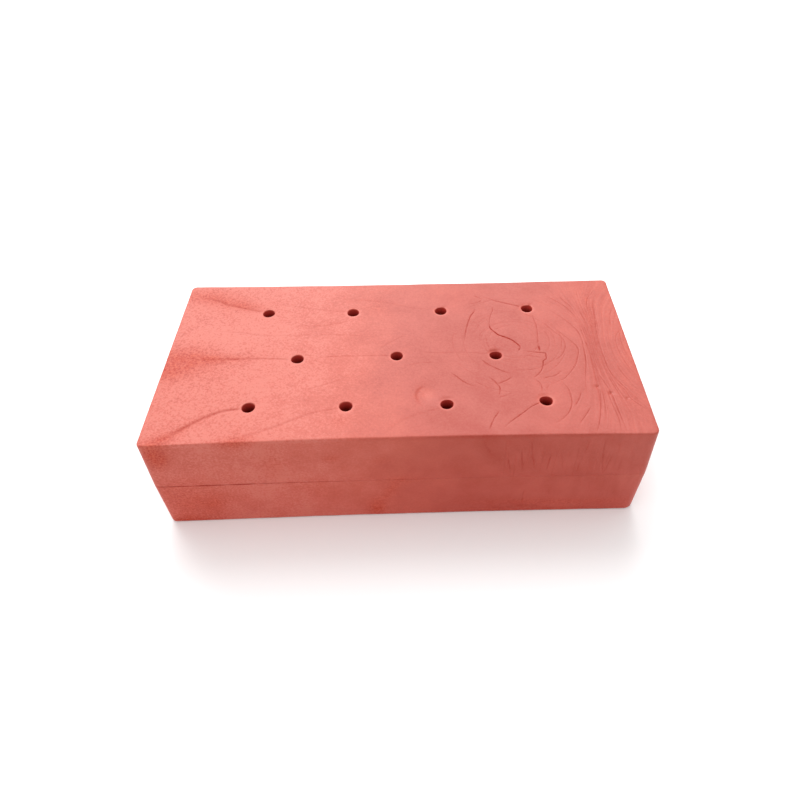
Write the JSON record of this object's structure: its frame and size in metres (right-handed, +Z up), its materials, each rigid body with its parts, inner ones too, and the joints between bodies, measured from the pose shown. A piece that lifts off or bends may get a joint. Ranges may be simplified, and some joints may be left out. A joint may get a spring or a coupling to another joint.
{
  "type": "clay bar",
  "caption": "Bulk block of soft detailing clay made of two equal slabs pressed face to face, pierced by staggered rows of round pin holes.",
  "frame": {"origin": "centre of the face that the block rests on", "axes": "+X along the block's length, +Y across its width from front to back, +Z up through both slabs"},
  "size_m": [0.2, 0.1, 0.05],
  "materials": {
    "clay_lower": "satin",
    "clay_upper": "satin"
  },
  "bodies": {
    "root": {"lower_slab": "clay_lower", "upper_slab": "clay_upper"}
  },
  "joints": []
}
